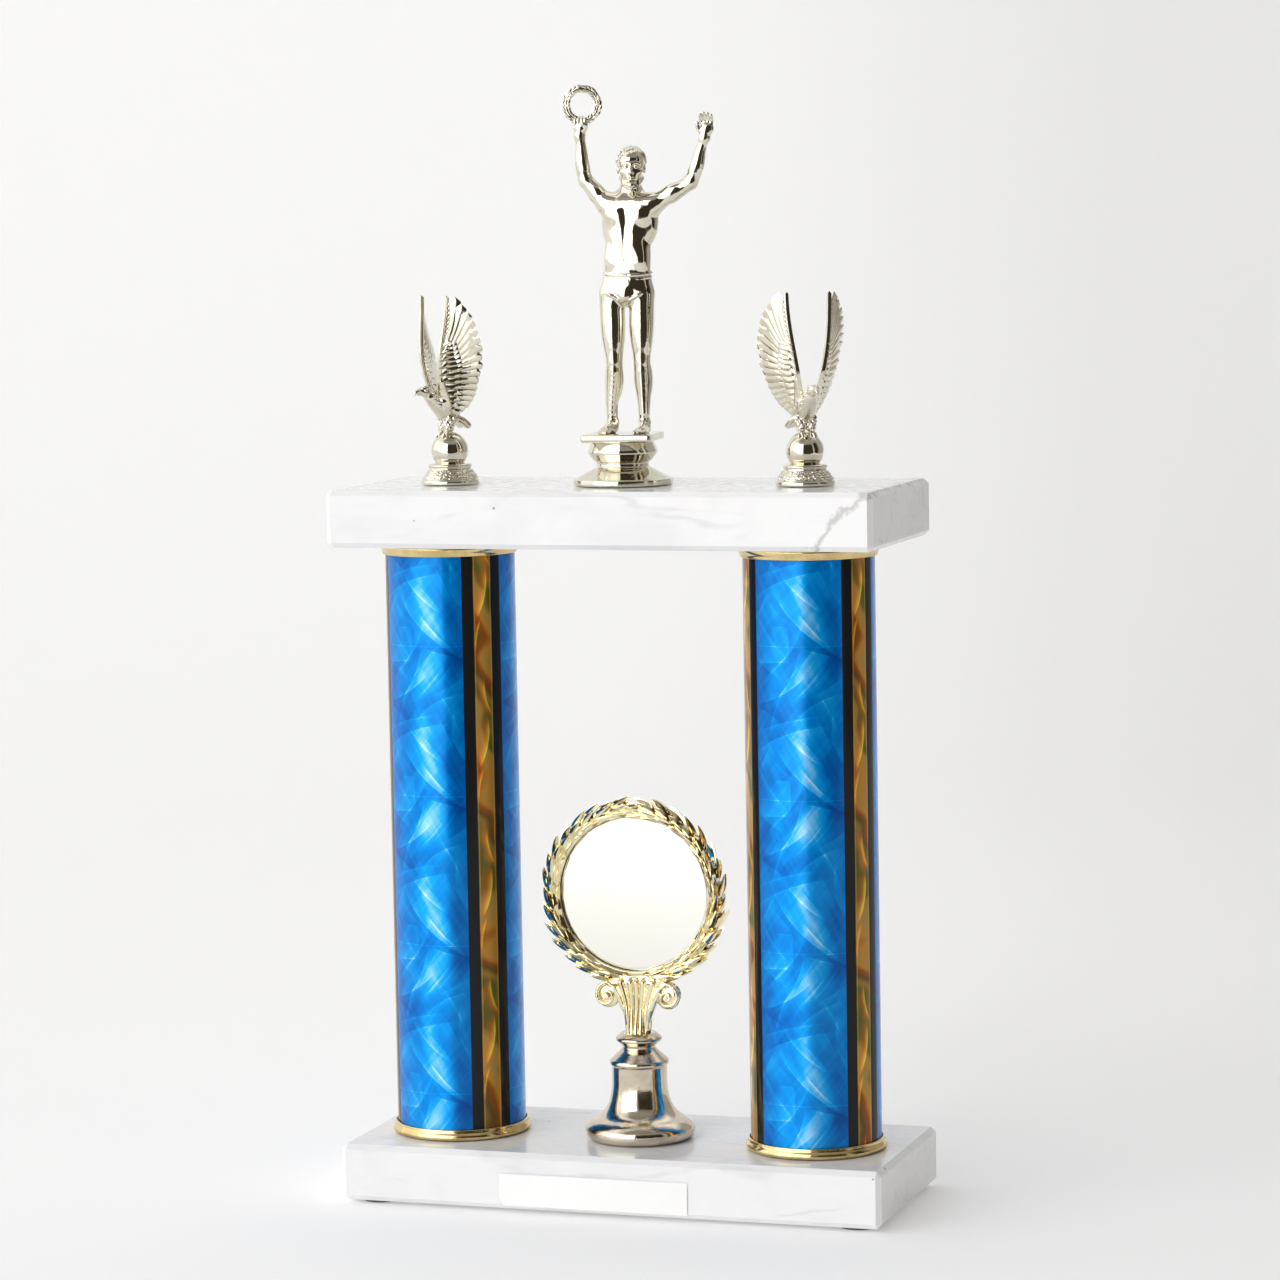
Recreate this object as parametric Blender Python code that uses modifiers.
"""Two-column victory trophy, built from its separate pieces.

Metres, +Z up, +X to the trophy's right as a viewer in front sees it, front towards -Y.
The origin is on the table, under the middle of the marble base.
"""

import math

import bmesh
import bpy
from mathutils import Matrix, Vector

MM = 0.001

# Marble slabs and the pads under the base
SLAB_LENGTH = 218.4 * MM
SLAB_DEPTH = 87.0 * MM
SLAB_THICKNESS = 22.2 * MM
SLAB_CHAMFER = 2.0 * MM
PAD_RADIUS = 7.0 * MM
PAD_THICKNESS = 1.5 * MM
PAD_INSET = 12.0 * MM
CLEAR_HEIGHT = 234.0 * MM

# Columns: cardboard tube, foil wrap and a metal cap at each end
COLUMN_X = 73.1 * MM
COLUMN_LINE_Y = -3.5 * MM
WRAP_RADIUS = 25.4 * MM
WRAP_THICKNESS = 0.4 * MM
TUBE_WALL = 2.0 * MM
CAP_RADIUS = 27.4 * MM
CAP_HEIGHT = 4.2 * MM
CAP_FLOOR = 1.5 * MM
CAP_HOLE_RADIUS = 5.0 * MM

# Threaded rods, nuts and washers
ROD_X = 72.2 * MM
ROD_RADIUS = 3.175 * MM
THIN_ROD_RADIUS = 2.4 * MM
NUT_FLATS = 11.1 * MM
NUT_HEIGHT = 5.6 * MM
THIN_NUT_FLATS = 9.5 * MM
THIN_NUT_HEIGHT = 3.2 * MM
WASHER_RADIUS = 9.5 * MM
WASHER_THICKNESS = 1.6 * MM
COUNTERBORE_RADIUS = 11.5 * MM
COUNTERBORE_DEPTH = 11.0 * MM
ROD_END_RECESS = 1.5 * MM
GAP = 0.3 * MM

# Figures: where each one stands and which way it faces
FIGURE_X = -0.95 * MM
FIGURE_TURN = math.radians(6.0)
EAGLE_TURN = math.radians(34.5)
EAGLE_HEIGHT = 74.3 * MM
HOLDER_X = 1.4 * MM
PLATE_SIDE = 27.6 * MM
PLATE_BOTTOM = 16.8 * MM
PLATE_TOP = 19.7 * MM

# Wreath holder
DISC_RADIUS = 30.2 * MM
DISC_THICKNESS = 1.0 * MM
DISC_CENTRE_X = -0.9 * MM
DISC_CENTRE_Z = 96.0 * MM
WREATH_RADIUS = 36.2 * MM
STEM_RADIUS = 4.4 * MM
FAN_FLATNESS = 0.42

# Blank paper label on the front of the base
LABEL_LENGTH = 76.8 * MM
LABEL_HEIGHT = 13.0 * MM
LABEL_THICKNESS = 0.2 * MM
LABEL_X = -5.5 * MM
LABEL_Z = 9.4 * MM

# Heights that follow from the sizes above
BASE_TOP = PAD_THICKNESS + SLAB_THICKNESS
TOP_SLAB_BOTTOM = BASE_TOP + CLEAR_HEIGHT
TOP_SLAB_TOP = TOP_SLAB_BOTTOM + SLAB_THICKNESS
TUBE_BOTTOM = BASE_TOP + GAP + CAP_FLOOR + GAP
TUBE_TOP = TOP_SLAB_BOTTOM - GAP - CAP_FLOOR - GAP

MARBLE = ((0.86, 0.86, 0.87), 0.0, 0.25)
BRASS = ((0.80, 0.62, 0.28), 1.0, 0.2)
CHAMPAGNE = ((0.85, 0.80, 0.66), 1.0, 0.15)
GOLD = ((0.90, 0.78, 0.48), 1.0, 0.15)
NICKEL = ((0.72, 0.68, 0.60), 1.0, 0.2)
STEEL = ((0.55, 0.56, 0.58), 1.0, 0.4)
FOIL = ((0.02, 0.27, 0.72), 0.8, 0.25)
CARDBOARD = ((0.45, 0.33, 0.20), 0.0, 0.9)
IVORY = ((0.93, 0.90, 0.80), 0.6, 0.2)
RUBBER = ((0.12, 0.12, 0.12), 0.0, 0.95)
PAPER = ((0.92, 0.92, 0.90), 0.0, 0.8)


# ---------------------------------------------------------------- scene helpers

def clear_scene():
    for item in list(bpy.data.objects):
        bpy.data.objects.remove(item, do_unlink=True)


def make_collection(name):
    collection = bpy.data.collections.new(name)
    bpy.context.scene.collection.children.link(collection)
    return collection


def make_material(name, finish):
    colour, metallic, roughness = finish
    material = bpy.data.materials.new(name)
    material.use_nodes = True
    shader = material.node_tree.nodes["Principled BSDF"]
    shader.inputs["Base Color"].default_value = (*colour, 1.0)
    shader.inputs["Metallic"].default_value = metallic
    shader.inputs["Roughness"].default_value = roughness
    return material


def make_object(name, mesh, finish=None):
    """A part when it has a finish, otherwise a hidden helper that cuts or joins."""
    item = bpy.data.objects.new(name, mesh)
    if finish:
        PARTS.objects.link(item)
        mesh.materials.append(make_material(name, finish))
    else:
        CUTTERS.objects.link(item)
        item.hide_render = True
        item.display_type = "WIRE"
    return item


def mesh_from(name, bm, smooth_angle=35.0):
    mesh = bpy.data.meshes.new(name)
    bm.normal_update()
    bm.to_mesh(mesh)
    bm.free()
    mesh.shade_smooth()
    mesh.set_sharp_from_angle(angle=math.radians(smooth_angle))
    return mesh


# ---------------------------------------------------------------- shape helpers

def box(name, size, centre, finish=None):
    bm = bmesh.new()
    bmesh.ops.create_cube(bm, size=1.0, matrix=Matrix.Diagonal((*size, 1.0)))
    item = make_object(name, mesh_from(name, bm), finish)
    item.location = centre
    return item


def cylinder(name, radius, low, high, place, sides=24, finish=None):
    """A vertical cylinder from height low to height high, on the axis at place (x, y)."""
    bm = bmesh.new()
    bmesh.ops.create_cone(bm, cap_ends=True, segments=sides, radius1=radius, radius2=radius,
                          depth=high - low)
    item = make_object(name, mesh_from(name, bm), finish)
    item.location = (*place, (low + high) / 2)
    return item


def turned(name, profile, place, steps=32, finish=None, closed=True):
    """A profile of (radius, height) points in millimetres, turned about its own Z axis."""
    mesh = bpy.data.meshes.new(name)
    points = [(radius * MM, 0.0, height * MM) for radius, height in profile]
    edges = [(i, i + 1) for i in range(len(points) - 1)]
    if closed:
        edges.append((len(points) - 1, 0))
    mesh.from_pydata(points, edges, [])
    item = make_object(name, mesh, finish)
    screw = item.modifiers.new("Screw", "SCREW")
    screw.steps = steps
    screw.render_steps = steps
    screw.use_merge_vertices = True
    screw.merge_threshold = 0.00001
    screw.use_smooth_shade = True
    item.location = place
    return item


def boolean(item, helper, operation="DIFFERENCE"):
    modifier = item.modifiers.new(helper.name, "BOOLEAN")
    modifier.operation = operation
    modifier.solver = "EXACT"
    modifier.object = helper


def arc(centre, radius, start, end, count):
    """Points on an arc in a profile, angles in degrees from the +radius direction."""
    points = []
    for i in range(count):
        angle = math.radians(start + (end - start) * i / (count - 1))
        points.append((centre[0] + radius * math.cos(angle), centre[1] + radius * math.sin(angle)))
    return points


def add_limb(bm, start, end, start_radius, end_radius, sides=12):
    """A tapered limb with a round end at its far joint. Sizes are in millimetres."""
    start = Vector(start) * MM
    end = Vector(end) * MM
    along = end - start
    turn = Vector((0, 0, 1)).rotation_difference(along).to_matrix().to_4x4()
    middle = Matrix.Translation((start + end) / 2) @ turn
    bmesh.ops.create_cone(bm, cap_ends=True, segments=sides, radius1=start_radius * MM,
                          radius2=end_radius * MM, depth=along.length, matrix=middle)
    bmesh.ops.create_uvsphere(bm, u_segments=sides, v_segments=8, radius=end_radius * MM,
                              matrix=Matrix.Translation(end) @ turn)


def add_chain(bm, joints):
    """Limbs through a list of joints (x, y, z, radius)."""
    for near, far in zip(joints, joints[1:]):
        add_limb(bm, near[:3], far[:3], near[3], far[3])


def add_blob(bm, centre, radii, turn=None):
    """An ellipsoid. Sizes are in millimetres."""
    place = Matrix.Translation(Vector(centre) * MM)
    if turn:
        place = place @ turn
    size = Matrix.Diagonal((*(radius * MM for radius in radii), 1.0))
    bmesh.ops.create_uvsphere(bm, u_segments=16, v_segments=10, radius=1.0, matrix=place @ size)


def add_ring(bm, centre, radius, thickness, turn, count=18):
    """A ring of short limbs that stands upright and is turned about the vertical."""
    spin = Matrix.Rotation(turn, 3, "Z")
    joints = []
    for i in range(count + 1):
        angle = 2 * math.pi * i / count
        point = spin @ Vector((radius * math.cos(angle), 0.0, radius * math.sin(angle)))
        joints.append((*(point + Vector(centre)), thickness))
    add_chain(bm, joints)


def melt(item, voxel, keep):
    """Join overlapping lumps into one closed skin and thin out its triangles."""
    remesh = item.modifiers.new("Remesh", "REMESH")
    remesh.mode = "VOXEL"
    remesh.voxel_size = voxel
    thin = item.modifiers.new("Decimate", "DECIMATE")
    thin.ratio = keep


# ---------------------------------------------------------------- marble and pads

def counterbored_slab(name, bottom, through_holes, counterbores):
    slab = box(name, (SLAB_LENGTH, SLAB_DEPTH, SLAB_THICKNESS),
               (0, 0, bottom + SLAB_THICKNESS / 2), MARBLE)
    bevel = slab.modifiers.new("Bevel", "BEVEL")
    bevel.width = SLAB_CHAMFER
    bevel.segments = 1
    for index, (x, radius) in enumerate(through_holes):
        drill = cylinder(f"{name}_drill_{index}", radius, bottom - 5 * MM,
                         bottom + SLAB_THICKNESS + 5 * MM, (x, COLUMN_LINE_Y))
        boolean(slab, drill)
    for index, x in enumerate(counterbores):
        drill = cylinder(f"{name}_counterbore_{index}", COUNTERBORE_RADIUS, bottom - 5 * MM,
                         bottom + COUNTERBORE_DEPTH, (x, COLUMN_LINE_Y))
        boolean(slab, drill)


def make_slabs():
    wide = ROD_RADIUS + 0.8 * MM
    thin = THIN_ROD_RADIUS + 0.8 * MM
    counterbored_slab("base_slab", PAD_THICKNESS,
                      [(-ROD_X, wide), (ROD_X, wide), (HOLDER_X, thin)],
                      [-ROD_X, ROD_X, HOLDER_X])
    counterbored_slab("top_slab", TOP_SLAB_BOTTOM,
                      [(-ROD_X, wide), (ROD_X, wide), (FIGURE_X, wide)],
                      [FIGURE_X])


def make_pads():
    reach_x = SLAB_LENGTH / 2 - PAD_INSET
    reach_y = SLAB_DEPTH / 2 - PAD_INSET
    corners = {"front_left": (-1, -1), "front_right": (1, -1),
               "back_left": (-1, 1), "back_right": (1, 1)}
    for corner, (side, end) in corners.items():
        cylinder(f"base_pad_{corner}", PAD_RADIUS, 0.0, PAD_THICKNESS - GAP / 3,
                 (side * reach_x, end * reach_y), finish=RUBBER)


def make_label():
    y = -SLAB_DEPTH / 2 - GAP - LABEL_THICKNESS / 2
    box("front_label", (LABEL_LENGTH, LABEL_THICKNESS, LABEL_HEIGHT), (LABEL_X, y, LABEL_Z), PAPER)


# ---------------------------------------------------------------- columns

def cap_profile():
    """A shallow metal cup with a rolled rim, open side up."""
    outer = CAP_RADIUS / MM
    inner = (WRAP_RADIUS + GAP) / MM
    height = CAP_HEIGHT / MM
    floor = CAP_FLOOR / MM
    hole = CAP_HOLE_RADIUS / MM
    rim = [(inner + 0.5, height), (outer - 0.4, height - 1.3), (outer, height - 2.6), (outer - 0.5, 0.0)]
    return rim + [(hole, 0.0), (hole, floor), (inner, floor), (inner, height - 0.3)]


def make_column(side, x):
    place = (x, COLUMN_LINE_Y, 0)
    wrap = WRAP_RADIUS / MM
    tube = wrap - WRAP_THICKNESS / MM - GAP / MM
    low, high = TUBE_BOTTOM / MM, TUBE_TOP / MM
    inside_wrap = wrap - WRAP_THICKNESS / MM
    bore = tube - TUBE_WALL / MM
    turned(f"{side}_column_wrap", [(wrap, high), (wrap, low), (inside_wrap, low), (inside_wrap, high)],
           place, steps=40, finish=FOIL)
    turned(f"{side}_column_tube", [(tube, high), (tube, low), (bore, low), (bore, high)],
           place, finish=CARDBOARD)
    turned(f"{side}_column_base_cap", cap_profile(), (x, COLUMN_LINE_Y, BASE_TOP + GAP), finish=BRASS)
    upper = turned(f"{side}_column_top_cap", cap_profile(),
                   (x, COLUMN_LINE_Y, TOP_SLAB_BOTTOM - GAP), finish=BRASS)
    upper.rotation_euler = (math.pi, 0, 0)


# ---------------------------------------------------------------- rods, nuts, washers

def hex_prism(name, flats, low, high, place, finish=None):
    corner_radius = flats / 2 / math.cos(math.pi / 6)
    return cylinder(name, corner_radius, low, high, place, sides=6, finish=finish)


def make_nut(name, flats, bore, low, high, place):
    nut = hex_prism(name, flats, low, high, place, finish=STEEL)
    boolean(nut, cylinder(f"{name}_bore", bore, low - MM, high + MM, place, sides=16))


def make_rod_set(name, x, slab_bottom, top, thin=False):
    """A threaded rod through a slab, with the washer and nut in the slab's counterbore."""
    place = (x, COLUMN_LINE_Y)
    radius = THIN_ROD_RADIUS if thin else ROD_RADIUS
    flats = THIN_NUT_FLATS if thin else NUT_FLATS
    height = THIN_NUT_HEIGHT if thin else NUT_HEIGHT
    ceiling = slab_bottom + COUNTERBORE_DEPTH
    washer_low = ceiling - GAP - WASHER_THICKNESS
    nut_high = washer_low - GAP
    cylinder(f"{name}_rod", radius, slab_bottom + ROD_END_RECESS, top, place, sides=16, finish=STEEL)
    make_nut(f"{name}_rod_nut", flats, radius + GAP, nut_high - height, nut_high, place)
    washer = [(WASHER_RADIUS / MM, WASHER_THICKNESS / MM), (WASHER_RADIUS / MM, 0.0),
              ((radius + 2 * GAP) / MM, 0.0), ((radius + 2 * GAP) / MM, WASHER_THICKNESS / MM)]
    turned(f"{name}_rod_washer", washer, (*place, washer_low), steps=20, finish=STEEL)


# ---------------------------------------------------------------- eagles

def wing_chord(share):
    """Width of the wing at a share of its height, 0 at the root and 1 at the tip."""
    return 15.7 * (1 - abs(2 * share ** 0.8 - 0.72) ** 2.2 / 2.1) if share < 1 else 1.0


def wing_mesh(name, side):
    """A curved sheet, swept back from a leading edge that bows outwards as it rises."""
    bm = bmesh.new()
    low, high, rows, columns = 27.0, EAGLE_HEIGHT / MM - 0.8, 9, 4
    grid = []
    for i in range(rows):
        share = i / (rows - 1)
        height = low + (high - low) * share
        lateral = 1.2 + 7.3 * math.sin(share * math.pi / 2)
        forward = 6.4 - 2.0 * (1 - share) ** 2
        chord = wing_chord(share)
        row = []
        for j in range(columns):
            back = chord * j / (columns - 1)
            x = side * (lateral + back * math.sin(math.radians(31.5)))
            y = -forward + back * math.cos(math.radians(31.5))
            row.append(bm.verts.new((x * MM, y * MM, (height - 0.12 * back) * MM)))
        grid.append(row)
    for lower, upper in zip(grid, grid[1:]):
        for j in range(columns - 1):
            corners = (lower[j], lower[j + 1], upper[j + 1], upper[j])
            bm.faces.new(corners if side > 0 else corners[::-1])
    return mesh_from(name, bm)


def make_eagle(side_name, x, turn):
    name = f"{side_name}_eagle"
    floor = TOP_SLAB_TOP + GAP
    place = (x, COLUMN_LINE_Y, floor)
    globe = arc((0.0, 13.0), 7.3, 90.0, -45.0, 9)
    globe[0] = (0.0, 20.3)
    foot = [(8.0, 7.7), (8.2, 6.6), (8.6, 5.9), (11.1, 1.8), (11.5, 1.0), (11.3, 0.0), (0.0, 0.0)]
    eagle = turned(name, globe + foot, place, steps=24, finish=CHAMPAGNE, closed=False)

    bm = bmesh.new()
    add_chain(bm, [(-1.8, -1.5, 18.5, 1.6), (-1.9, -1.2, 23.5, 2.1), (-1.5, -1.0, 27.0, 2.4)])
    add_chain(bm, [(1.8, -1.5, 18.5, 1.6), (1.9, -1.2, 23.5, 2.1), (1.5, -1.0, 27.0, 2.4)])
    add_chain(bm, [(0, 0.5, 24.5, 3.0), (0, -3.0, 28.5, 4.0), (0, -8.0, 33.0, 3.2), (0, -10.5, 36.2, 3.0),
                   (0, -13.5, 36.6, 1.6), (0, -16.5, 36.0, 0.9)])
    add_blob(bm, (-2.0, 6.5, 23.5), (4.0, 5.5, 2.0), Matrix.Rotation(math.radians(18), 4, "X"))
    bird = make_object(f"{name}_bird", mesh_from(f"{name}_bird", bm))
    melt(bird, 0.9 * MM, 0.22)
    bird.parent = eagle
    boolean(eagle, bird, "UNION")

    for side in (-1, 1):
        wing = make_object(f"{name}_wing_{side}", wing_mesh(f"{name}_wing_{side}", side))
        skin = wing.modifiers.new("Solidify", "SOLIDIFY")
        skin.thickness = 1.6 * MM
        skin.offset = 0.0
        wing.parent = eagle
        boolean(eagle, wing, "UNION")

    pocket = hex_prism(f"{name}_pocket", NUT_FLATS + 2 * GAP, floor - MM, floor + 7.6 * MM, place[:2])
    boolean(eagle, pocket)
    boolean(eagle, cylinder(f"{name}_bore", ROD_RADIUS + GAP, floor, floor + 11.5 * MM, place[:2], sides=16))
    eagle.rotation_euler = (0, 0, turn)
    pocket.rotation_euler = (0, 0, turn)
    make_nut(f"{name}_nut", NUT_FLATS, ROD_RADIUS + GAP, floor + 1.7 * MM,
             floor + 1.7 * MM + NUT_HEIGHT, place[:2])
    bpy.data.objects[f"{name}_nut"].rotation_euler = (0, 0, turn)


# ---------------------------------------------------------------- victory figure

def figure_lumps():
    """Head, trunk and limbs of a standing man with both arms raised, in millimetres."""
    bm = bmesh.new()
    add_blob(bm, (5.5, -0.8, 121.6), (6.1, 7.2, 8.0))
    add_chain(bm, [(3.6, 0.4, 107.0, 3.8), (4.9, -0.2, 116.0, 3.2)])
    add_blob(bm, (3.9, 0.0, 102.5), (9.4, 5.6, 8.4))
    add_blob(bm, (3.0, 0.0, 92.0), (8.4, 4.9, 9.0))
    add_blob(bm, (2.8, 0.3, 82.5), (8.4, 4.9, 8.5))
    add_blob(bm, (2.6, 0.6, 74.0), (10.4, 6.2, 6.6))
    for thigh_x, knee_x, ankle_x, toe_x in ((-3.4, -2.6, -4.0, -5.6), (8.0, 8.4, 8.4, 8.9)):
        add_chain(bm, [(thigh_x, 0.4, 71.0, 5.2), (thigh_x + 0.2, 0.0, 62.0, 5.0),
                       (knee_x, -0.6, 48.5, 3.5), (knee_x - 0.1, 1.0, 41.5, 3.6),
                       (ankle_x, 1.6, 28.0, 2.0), (ankle_x, 1.8, 21.8, 2.3)])
        add_chain(bm, [(ankle_x, 3.4, 21.4, 2.2), (toe_x, -5.0, 20.8, 2.6), (toe_x - 0.4, -9.5, 20.4, 1.9)])
    add_chain(bm, [(-1.5, 0.4, 105.0, 4.4), (-4.6, 0.4, 107.8, 3.9), (-12.4, 0.0, 116.6, 2.9),
                   (-14.2, -0.4, 127.0, 2.6), (-14.4, -0.6, 133.7, 1.7), (-14.0, -0.8, 138.0, 2.4)])
    add_chain(bm, [(9.5, 0.4, 105.0, 4.4), (13.4, 0.4, 107.6, 3.9), (26.4, 0.0, 115.4, 2.9),
                   (29.2, -0.4, 125.0, 2.6), (30.9, -0.6, 132.0, 1.7), (32.3, -0.8, 137.0, 2.4),
                   (32.6, -1.2, 141.0, 1.7)])
    add_ring(bm, (-13.4, -1.0, 146.3), 5.9, 1.6, math.radians(10.0))
    return mesh_from("figure_lumps", bm)


def make_figure():
    floor = TOP_SLAB_TOP + GAP
    place = (FIGURE_X, COLUMN_LINE_Y)
    figure = make_object("victory_figure", figure_lumps(), CHAMPAGNE)
    figure.location = (*place, floor)
    figure.rotation_euler = (0, 0, FIGURE_TURN)
    melt(figure, 1.0 * MM, 0.13)
    plate_middle = floor + (PLATE_BOTTOM + PLATE_TOP) / 2
    plate = box("figure_plate", (PLATE_SIDE, PLATE_SIDE, PLATE_TOP - PLATE_BOTTOM), (*place, plate_middle))
    plate.rotation_euler = (0, 0, FIGURE_TURN)
    boolean(figure, plate, "UNION")
    boss_low = floor + 9.6 * MM
    boolean(figure, cylinder("figure_boss", 8.2 * MM, boss_low, floor + PLATE_BOTTOM + MM, place), "UNION")
    boolean(figure, hex_prism("figure_pocket", NUT_FLATS + 2 * GAP, boss_low - MM, boss_low + 6.6 * MM, place))
    boolean(figure, cylinder("figure_bore", ROD_RADIUS + GAP, boss_low, floor + 18.0 * MM, place, sides=16))
    make_nut("figure_nut", NUT_FLATS, ROD_RADIUS + GAP, boss_low + 0.7 * MM,
             boss_low + 0.7 * MM + NUT_HEIGHT, place)

    outer = [(12.1, 16.5), (13.4, 13.0), (13.5, 12.4), (11.2, 9.2), (10.1, 8.8), (10.1, 7.0),
             (18.6, 2.5), (19.3, 2.2), (19.3, 0.6), (18.9, 0.0)]
    inner = [(17.2, 0.0), (17.0, 1.3), (8.6, 5.6), (8.6, 16.5)]
    turned("figure_riser", outer + inner, (*place, floor), finish=CHAMPAGNE)


# ---------------------------------------------------------------- wreath holder

def make_holder():
    floor = BASE_TOP + GAP
    place = (HOLDER_X, COLUMN_LINE_Y)
    disc = DISC_RADIUS / MM
    rim = WREATH_RADIUS / MM
    # turned lying down, then stood up so that its open front faces -Y
    outline = [(0.0, -1.4), (disc + 0.5, -1.4), (disc + 0.5, 1.0), (disc + 1.4, 2.2), (rim - 2.4, 3.0),
               (rim - 0.4, 1.4), (rim, 0.0), (rim - 0.4, -1.4), (rim - 2.4, -3.0), (disc - 1.0, -3.0),
               (disc - 1.6, -2.6), (0.0, -2.6)]
    centre = (HOLDER_X + DISC_CENTRE_X, COLUMN_LINE_Y, floor + DISC_CENTRE_Z)
    wreath = turned("wreath_holder", outline, centre, steps=40, finish=GOLD, closed=False)
    wreath.rotation_euler = (math.pi / 2, 0, 0)

    stem = cylinder("holder_stem", STEM_RADIUS, floor + 31.8 * MM, floor + 48.0 * MM, place, sides=16)
    boolean(wreath, stem, "UNION")
    fan = turned("holder_fan", [(0.0, 62.5), (9.6, 62.5), (9.4, 60.0), (6.2, 52.5), (4.8, 46.5), (0.0, 46.0)],
                 (*place, floor), steps=16, closed=False)
    fan.scale = (1.0, FAN_FLATNESS, 1.0)
    boolean(wreath, fan, "UNION")
    boolean(wreath, box("holder_abacus", (33.0 * MM, 6.4 * MM, 3.4 * MM), (*place, floor + 60.4 * MM)), "UNION")
    for side in (-1, 1):
        scroll = cylinder(f"holder_scroll_{side}", 4.5 * MM, -2.9 * MM, 2.9 * MM, (0, 0), sides=16)
        scroll.location = (HOLDER_X + side * 12.3 * MM, COLUMN_LINE_Y, floor + 54.6 * MM)
        scroll.rotation_euler = (math.pi / 2, 0, 0)
        boolean(wreath, scroll, "UNION")
        bridge = box(f"holder_bridge_{side}", (6.0 * MM, 4.4 * MM, 4.0 * MM),
                     (HOLDER_X + side * 8.0 * MM, COLUMN_LINE_Y, floor + 57.4 * MM))
        boolean(wreath, bridge, "UNION")
    boolean(wreath, cylinder("holder_tapped_hole", THIN_ROD_RADIUS + GAP, floor + 30 * MM,
                             floor + 45 * MM, place, sides=16))

    insert = cylinder("insert_disc", DISC_RADIUS, -DISC_THICKNESS / 2, DISC_THICKNESS / 2, (0, 0),
                      sides=40, finish=IVORY)
    insert.rotation_euler = (math.pi / 2, 0, 0)
    insert.location = (centre[0], centre[1] + 1.4 * MM - GAP - DISC_THICKNESS / 2, centre[2])

    outer = [(7.0, 41.4), (9.1, 39.3), (9.1, 38.7), (6.7, 36.5), (6.4, 35.7), (7.0, 34.9), (11.7, 30.6),
             (11.8, 29.4), (10.9, 28.6), (10.9, 20.6), (11.4, 16.7), (12.6, 12.7), (14.6, 9.9),
             (19.4, 6.9), (21.2, 4.9), (21.6, 2.9), (21.0, 1.0), (19.4, 0.0)]
    inner = [(17.8, 0.0), (17.8, 4.6), (12.6, 8.6), (10.4, 13.4), (9.3, 18.0), (9.3, 27.0),
             (4.75, 29.6), (4.75, 41.4)]
    turned("bell_riser", outer + inner, (*place, floor), finish=NICKEL)


# ---------------------------------------------------------------- the whole trophy

clear_scene()
PARTS = make_collection("bowling_trophy")
CUTTERS = make_collection("cutters")

make_slabs()
make_pads()
make_label()
for side_name, side in (("left", -1), ("right", 1)):
    make_column(side_name, side * COLUMN_X)
    make_rod_set(f"{side_name}_column", side * ROD_X, PAD_THICKNESS, TOP_SLAB_TOP + GAP + 11.0 * MM)
    make_eagle(side_name, side * ROD_X, side * EAGLE_TURN)
make_rod_set("figure", FIGURE_X, TOP_SLAB_BOTTOM, TOP_SLAB_TOP + GAP + 17.4 * MM)
make_figure()
make_rod_set("holder", HOLDER_X, PAD_THICKNESS, BASE_TOP + GAP + 44.0 * MM, thin=True)
make_holder()
